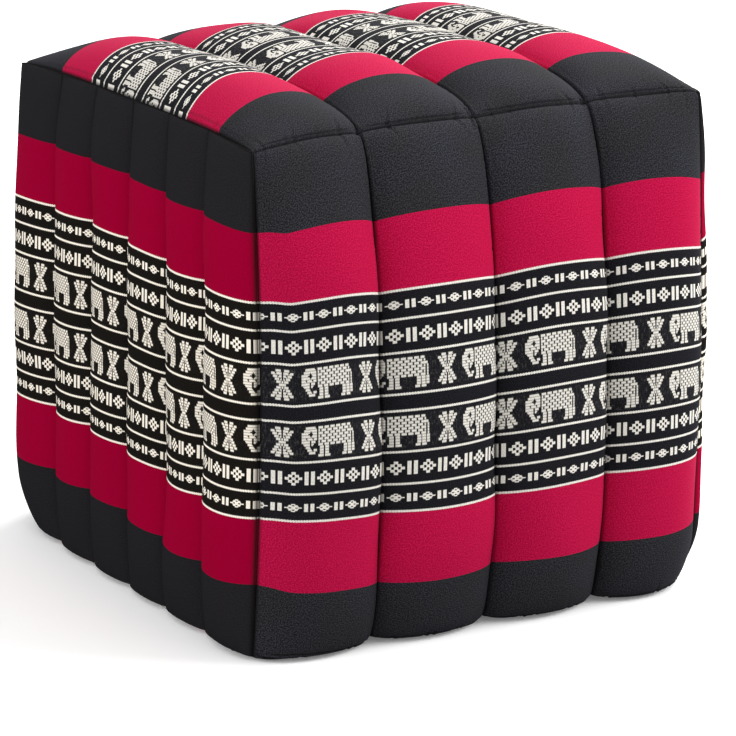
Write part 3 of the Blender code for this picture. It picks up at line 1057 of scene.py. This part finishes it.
@dataclass(frozen=True)
class BandWeave:
    """The figured band: ivory lines and rows of figures, the same on both sides of its middle.

    Sizes are in millimetres of cloth.
    """

    rows: tuple[Row, ...] = (Row(FIGURE_CHART, 20.7, 19.4), Row(CHEQUER_CHART, 9.3, 44.3, 8.0),
                             Row(LOZENGE_CHART, 5.5, 64.7, 8.0))
    lines: tuple[float, ...] = (5.5, 33.2, 55.3, 74.0)
    thread: float = 0.5  # width of a chart's square
    line_half: float = 0.74  # half a line's thickness, and the twist in it
    hatch: float = 0.18
    hatch_step: float = 1.7
    margin: float = 0.6  # band beyond its last line
    halo: float = 1.0  # ghosted cloth beyond a row of elephants
    pick_power: float = 0.5  # how narrow the dark lines between its picks are

    def build(self) -> bpy.types.ShaderNodeTree:
        """Make the group that says where the cloth is ivory, red, band, ghosted and sunk between picks."""
        outputs = ("Ivory", "Red", "Band", "Ghost", "Pick")
        wiring, given, out = new_group("figured_band", ("Across", "Down"), outputs)
        across, down = given["Across"], given["Down"]
        offset = wiring.math("SUBTRACT", down, sum(Stripe.BAND.value) / 2.0)
        distance = wiring.math("ABSOLUTE", offset)
        half = wiring.math("SIGN", offset)
        slope = wiring.math("MULTIPLY", wiring.total(across, down), 2.0 * math.pi / self.hatch_step)
        thickness = wiring.math("MULTIPLY_ADD", wiring.math("SINE", slope), self.hatch, self.line_half)
        ivory = 0.0
        for place in self.lines:
            off = wiring.math("ABSOLUTE", wiring.math("SUBTRACT", distance, place))
            ivory = wiring.math("ADD", ivory, wiring.math("LESS_THAN", off, thickness))
        ghost = pick = 0.0
        for row in self.rows:
            local = wiring.math("SUBTRACT", offset, wiring.math("MULTIPLY", half, row.distance))
            along = wiring.math("MULTIPLY", wiring.math("SUBTRACT", across, row.shift), 1.0 / self.thread)
            figure = self.figure(wiring, row, along, local)
            ivory = wiring.math("ADD", ivory, figure)
            if row.chart is FIGURE_CHART:
                ghost = wiring.near(local, 0.0, row.height / 2.0 + self.halo)
                pitch = 2.0 * row.height / len(row.chart)
                inwards = wiring.math("SUBTRACT", distance, row.distance - row.height / 2.0)
                turn = wiring.math("MULTIPLY", inwards, math.pi / pitch)
                wave = wiring.math("ABSOLUTE", wiring.math("SINE", turn))
                between = wiring.math("POWER", wave, self.pick_power)
                pick = wiring.math("MULTIPLY", wiring.math("SUBTRACT", 1.0, between), ghost)
        wiring.feed(out["Ivory"], wiring.math("MINIMUM", ivory, 1.0))
        red_start, red_end = Stripe.RED.value[0], Stripe.RED_AGAIN.value[1]
        inside = wiring.near(down, (red_start + red_end) / 2.0, (red_end - red_start) / 2.0)
        outside = wiring.math("GREATER_THAN", distance, self.lines[-1] + self.margin)
        wiring.feed(out["Red"], wiring.math("MULTIPLY", inside, outside))
        wiring.feed(out["Band"], wiring.math("SUBTRACT", 1.0, outside))
        wiring.feed(out["Ghost"], ghost)
        wiring.feed(out["Pick"], pick)
        return wiring.tree

    @staticmethod
    def figure(wiring: Wiring, row: Row, across: bpy.types.NodeSocket,
               local: bpy.types.NodeSocket) -> bpy.types.NodeSocket:
        """Read a row's chart, which is kept in colour ramps as binary words of ten squares.

        Args:
            wiring: the group's wiring.
            row: the row.
            across: threads across the cloth.
            local: millimetres down from the row's middle.

        Returns:
            1 where the chart is filled.
        """
        count, width = len(row.chart), len(row.chart[0])
        line = wiring.math("FLOOR", wiring.math("MULTIPLY_ADD", local, count / row.height, count / 2.0))
        inside = wiring.near(line, (count - 1) / 2.0, count / 2.0)
        place = wiring.math("MULTIPLY_ADD", line, 1.0 / count, 0.5 / count)
        step = wiring.math("FLOOR", wiring.math("FLOORED_MODULO", across, float(width)))
        tens = wiring.math("FLOOR", wiring.math("MULTIPLY_ADD", step, 1.0 / WORD, 0.5 / WORD))
        digit = wiring.math("SUBTRACT", step, wiring.math("MULTIPLY", tens, float(WORD)))
        word = 0.0
        for start in range(0, width, RAMP):
            ramp = wiring.add("ShaderNodeValToRGB")
            ramp.color_ramp.interpolation = "CONSTANT"
            stops = ramp.color_ramp.elements
            while len(stops) < count:
                stops.new(0.5)
            for number, text in enumerate(row.chart):
                words = [text[i:i + WORD] for i in range(start, min(start + RAMP, width), WORD)]
                values = [int(bits.replace("X", "1").replace(".", "0"), 2) / 2.0 ** WORD for bits in words]
                stops[number].position = number / count
                stops[number].color = (*(values + [0.0, 0.0])[:3], 1.0)
            wiring.feed(ramp.inputs["Fac"], place)
            parts = wiring.add("ShaderNodeSeparateColor")
            wiring.feed(parts.inputs[0], ramp.outputs["Color"])
            for number in range(min(RAMP, width - start) // WORD):
                chosen = wiring.near(tens, start / WORD + number, 0.5)
                word = wiring.math("ADD", word, wiring.math("MULTIPLY", chosen, parts.outputs[number]))
        power = wiring.math("POWER", 2.0, wiring.math("SUBTRACT", WORD - 1.0, digit))
        shifted = wiring.math("DIVIDE", wiring.math("MULTIPLY_ADD", word, 2.0 ** WORD, 0.5), power)
        bit = wiring.math("FLOORED_MODULO", wiring.math("FLOOR", shifted), 2.0)
        return wiring.math("MULTIPLY", inside, bit)


@dataclass(frozen=True)
class PlainWeave:
    """The ground weave and its grain."""

    thread: float = 0.62  # its repeat, in millimetres of cloth
    grain: float = 0.8  # size of the mottle
    streak: float = 0.3  # how much longer than wide the streaks are drawn
    streak_gain: float = 5.0  # and what share of the cloth they cover
    streak_base: float = -2.6
    drift: float = 38.0  # size of the slow changes of tone
    grain_noise: tuple[float, float] = (2.0, 0.6)  # detail and roughness of the mottle
    streak_noise: tuple[float, float, float] = (0.9, 3.0, 0.75)  # how fine the streaks are, and the same
    drift_noise: tuple[float, float] = (1.0, 0.5)

    def build(self) -> bpy.types.ShaderNodeTree:
        """Make the group that gives the threads' height, a fine grain, streaks and a slow drift of tone."""
        outputs = ("Height", "Grain", "Streaks", "Drift")
        wiring, given, out = new_group("ground_weave", ("Across", "Down"), outputs)
        across, down = given["Across"], given["Down"]
        turn = 2.0 * math.pi / self.thread
        warp = wiring.math("SINE", wiring.math("MULTIPLY", across, turn))
        weft = wiring.math("SINE", wiring.math("MULTIPLY", down, turn))
        place = wiring.add("ShaderNodeCombineXYZ")
        wiring.feed(place.inputs[0], across)
        wiring.feed(place.inputs[1], down)
        spot = place.outputs[0]
        grain = wiring.noise(spot, 1.0 / self.grain, *self.grain_noise)
        stretched = wiring.add("ShaderNodeCombineXYZ")
        wiring.feed(stretched.inputs[0], across)
        wiring.feed(stretched.inputs[1], wiring.math("MULTIPLY", down, self.streak))
        streaks = wiring.noise(stretched.outputs[0], *self.streak_noise)
        streaks = wiring.math("MULTIPLY_ADD", streaks, self.streak_gain, self.streak_base)
        wiring.feed(out["Streaks"], streaks)
        height = wiring.math("MULTIPLY_ADD", wiring.math("MULTIPLY", warp, weft), 0.5, 0.5)
        wiring.feed(out["Height"], wiring.math("ADD", height, grain))
        wiring.feed(out["Grain"], grain)
        wiring.feed(out["Drift"], wiring.noise(spot, 1.0 / self.drift, *self.drift_noise))
        return wiring.tree


@dataclass(frozen=True)
class FiguredCloth:
    """The pouf's cloth: black and crimson ground with ivory figures."""

    name: str = "figured_cloth"
    black: tuple[float, ...] = (0.008, 0.008, 0.009, 1.0)
    black_lit: tuple[float, ...] = (0.038, 0.038, 0.041, 1.0)
    black_cool: tuple[float, ...] = (0.043, 0.044, 0.058, 1.0)
    band_black: tuple[float, ...] = (0.005, 0.005, 0.006, 1.0)
    band_black_lit: tuple[float, ...] = (0.016, 0.016, 0.021, 1.0)
    red: tuple[float, ...] = (0.33, 0.000, 0.036, 1.0)
    red_lit: tuple[float, ...] = (0.56, 0.009, 0.066, 1.0)
    ivory: tuple[float, ...] = (0.66, 0.63, 0.57, 1.0)
    ivory_lit: tuple[float, ...] = (0.86, 0.83, 0.77, 1.0)
    ivory_sunk: tuple[float, ...] = (0.20, 0.19, 0.16, 1.0)
    ghost: float = 0.10  # how ivory the streaks among the figures are
    grain_gain: float = 5.0  # contrast, level and sharpness of the grain
    grain_base: float = -1.95
    grain_power: float = 1.8
    cool_gain: float = 2.5  # contrast and level of the cool patches in the black
    cool_base: float = -0.85
    roughness: float = 0.85
    gloss: float = 0.06
    sheen: float = 0.02
    sheen_roughness: float = 0.35
    sheen_tint: tuple[float, ...] = (0.75, 0.82, 1.0, 1.0)
    shade: float = 0.97  # how far a sewn line is darkened, as its thread and as painted shade in its crease
    relief: float = 0.06 * MM
    relief_strength: float = 0.8
    figure_height: float = 0.5  # height of the figures, as a share of the threads'

    def build(self, band: bpy.types.ShaderNodeTree, weave: bpy.types.ShaderNodeTree) -> bpy.types.Material:
        """Make the material.

        Args:
            band: the group of the figured band.
            weave: the group of the ground weave.

        Returns:
            The finished material.
        """
        cloth = bpy.data.materials.new(self.name)
        cloth.use_nodes = True
        wiring = Wiring(cloth.node_tree)
        shader = cloth.node_tree.nodes["Principled BSDF"]
        lay = wiring.add("ShaderNodeUVMap", uv_map="cloth")
        parts = wiring.add("ShaderNodeSeparateXYZ")
        wiring.feed(parts.inputs[0], lay.outputs[0])
        across, down = (wiring.math("MULTIPLY", parts.outputs[i], 1.0 / MM) for i in (0, 1))
        figures, threads = (wiring.add("ShaderNodeGroup", node_tree=tree) for tree in (band, weave))
        for group in (figures, threads):
            wiring.feed(group.inputs["Across"], across)
            wiring.feed(group.inputs["Down"], down)
        grain = wiring.math("MULTIPLY_ADD", threads.outputs["Grain"], self.grain_gain, self.grain_base)
        grain = wiring.math("POWER", grain, self.grain_power)
        cool = wiring.math("MULTIPLY_ADD", threads.outputs["Drift"], self.cool_gain, self.cool_base)
        plain = wiring.mix(grain, self.black, wiring.mix(cool, self.black_lit, self.black_cool))
        band_ground = wiring.mix(grain, self.band_black, self.band_black_lit)
        black = wiring.mix(figures.outputs["Band"], plain, band_ground)
        red = wiring.mix(grain, self.red, self.red_lit)
        ivory = wiring.mix(grain, self.ivory, self.ivory_lit)
        ivory = wiring.mix(figures.outputs["Pick"], ivory, self.ivory_sunk)
        ground = wiring.mix(figures.outputs["Red"], black, red)
        streaks = wiring.math("MULTIPLY", figures.outputs["Ghost"], threads.outputs["Streaks"])
        speck = wiring.math("MULTIPLY", streaks, self.ghost)
        share = wiring.math("MAXIMUM", figures.outputs["Ivory"], speck)
        # painted shade: along stitched lines and creases the colour is drawn towards the band's black, for
        # the thread and for the shade in the crease
        mark = wiring.add("ShaderNodeAttribute", attribute_name="sewn").outputs["Fac"]
        sewn = wiring.math("MULTIPLY", mark, self.shade)
        dyed = wiring.mix(share, ground, ivory)
        wiring.feed(shader.inputs["Base Color"], wiring.mix(sewn, dyed, self.band_black))
        shader.inputs["Roughness"].default_value = self.roughness
        shader.inputs["Specular IOR Level"].default_value = self.gloss
        shader.inputs["Sheen Weight"].default_value = self.sheen
        shader.inputs["Sheen Roughness"].default_value = self.sheen_roughness
        shader.inputs["Sheen Tint"].default_value = self.sheen_tint
        bump = wiring.add("ShaderNodeBump")
        bump.inputs["Distance"].default_value = self.relief
        bump.inputs["Strength"].default_value = self.relief_strength
        height = wiring.math(
            "MULTIPLY_ADD", figures.outputs["Ivory"], self.figure_height, threads.outputs["Height"])
        wiring.feed(bump.inputs["Height"], height)
        wiring.feed(shader.inputs["Normal"], bump.outputs["Normal"])
        return cloth


# The side panels' cloth is a copy with painted shade and light: its red and blacks are darker, painting the
# shade of the side faces, and its ivory brighter, painting light on their figures; the front set would look
# too light there in this studio.
SIDE_CLOTH_PAINTED_SHADE_AND_LIGHT = FiguredCloth(
    "side_cloth_painted_shade_and_light", black=(0.013, 0.0125, 0.014, 1.0), black_lit=(0.021, 0.020, 0.023, 1.0),
    black_cool=(0.023, 0.021, 0.024, 1.0),
    band_black=(0.008, 0.007, 0.006, 1.0), band_black_lit=(0.014, 0.012, 0.010, 1.0),
    red=(0.29, 0.0, 0.024, 1.0), red_lit=(0.34, 0.001, 0.032, 1.0),
    ivory=(0.96, 0.86, 0.72, 1.0), ivory_lit=(1.0, 0.96, 0.87, 1.0), ghost=0.02, gloss=0.01, sheen=0.0)


# --- studio -----------------------------------------------------------------------------------
@dataclass(frozen=True)
class SoftLight:
    """A soft box that looks at the pouf."""

    name: str
    place: tuple[float, float, float]
    size: float
    power: float
    colour: tuple[float, float, float] = (1.0, 1.0, 1.0)

    def build(self, target: Vector) -> None:
        """Hang the light."""
        data = bpy.data.lights.new(self.name, "AREA")
        data.shape, data.size, data.energy, data.color = "SQUARE", self.size, self.power, self.colour
        lamp = bpy.data.objects.new(self.name, data)
        lamp.location = self.place
        lamp.rotation_euler = (target - Vector(self.place)).to_track_quat("-Z", "Y").to_euler()
        bpy.context.scene.collection.objects.link(lamp)


@dataclass(frozen=True)
class Studio:
    """Pale floor, soft light and the camera."""

    eye: tuple[float, float, float] = (-1.5335, -2.6879, 1.0168)
    aim: tuple[float, float, float] = (0.0036, -0.0141, 0.1367)
    roll: float = math.radians(0.361)
    lens: float = 225.3
    sensor: float = 36.0
    floor_size: float = 14.0
    floor_tone: tuple[float, ...] = (1.0, 1.0, 1.0, 1.0)  # as the camera sees it
    floor_bounce: tuple[float, ...] = (0.32, 0.32, 0.32, 1.0)  # as it lights the pouf
    floor_glow: tuple[float, ...] = (0.12, 0.122, 0.122, 1.0)  # which only the camera sees
    floor_roughness: float = 0.9
    sky_tone: tuple[float, ...] = (1.0, 1.0, 1.0, 1.0)
    sky_strength: float = 0.95
    lights: tuple[SoftLight, ...] = (
        SoftLight("key", (1.8, -1.2, 1.3), 1.2, 44.0),
        SoftLight("top", (1.7, 0.8, 1.9), 1.6, 55.0),
        SoftLight("fill", (-2.6, -0.9, 0.9), 1.4, 25.0),
    )

    def build(self) -> None:
        """Set the floor, the lights and the camera."""
        bpy.ops.object.select_all(action="DESELECT")
        bpy.ops.mesh.primitive_plane_add(size=self.floor_size)
        floor = bpy.context.active_object
        floor.name = "floor"
        paint = bpy.data.materials.new("pale_floor")
        paint.use_nodes = True
        shader = paint.node_tree.nodes["Principled BSDF"]
        wiring = Wiring(paint.node_tree)
        seen = wiring.add("ShaderNodeLightPath").outputs["Is Camera Ray"]
        wiring.feed(shader.inputs["Base Color"], wiring.mix(seen, self.floor_bounce, self.floor_tone))
        wiring.feed(shader.inputs["Emission Color"], wiring.mix(seen, (0.0, 0.0, 0.0, 1.0), self.floor_glow))
        shader.inputs["Emission Strength"].default_value = 1.0
        shader.inputs["Roughness"].default_value = self.floor_roughness
        shader.inputs["Specular IOR Level"].default_value = 0.0
        floor.data.materials.append(paint)
        world = bpy.data.worlds.new("sky")
        world.use_nodes = True
        sky = world.node_tree.nodes["Background"]
        sky.inputs["Color"].default_value = self.sky_tone
        sky.inputs["Strength"].default_value = self.sky_strength
        scene = bpy.context.scene
        scene.world = world
        scene.view_settings.view_transform = "Standard"
        for light in self.lights:
            light.build(Vector(self.aim))
        data = bpy.data.cameras.new("camera")
        data.lens, data.sensor_width = self.lens, self.sensor
        camera = bpy.data.objects.new("camera", data)
        look = (Vector(self.aim) - Vector(self.eye)).to_track_quat("-Z", "Y").to_matrix().to_4x4()
        camera.matrix_world = Matrix.Translation(self.eye) @ look @ Matrix.Rotation(self.roll, 4, "Z")
        scene.collection.objects.link(camera)
        scene.camera = camera


# --- assembly ---------------------------------------------------------------------------------
def dress(maker: "Lobe | SidePanel", cloth: bpy.types.Material) -> None:
    """Build one piece and put it in place of its CAD node."""
    piece = maker.build()
    piece.data.materials.append(cloth)
    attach(piece, "root")
    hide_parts(maker.name)
    LOG.info("%s: %d polygons", piece.name, len(piece.data.polygons))


def main() -> None:
    """Build the pouf's pieces and the studio."""
    logging.basicConfig(level=logging.INFO)
    form = CubeForm()
    band, weave = BandWeave().build(), PlainWeave().build()
    cloth, side_cloth_painted_shade_and_light = FiguredCloth().build(band, weave), SIDE_CLOTH_PAINTED_SHADE_AND_LIGHT.build(band, weave)
    for number in range(len(form.lobe_seams) - 1):
        dress(Lobe(form, number), cloth)
    # the side panels wear the copy with painted shade in its red and blacks and painted light in its ivory
    for side in (-1, 1):
        dress(SidePanel(form, side), side_cloth_painted_shade_and_light)
    Studio().build()


if __name__ == "__main__":
    main()
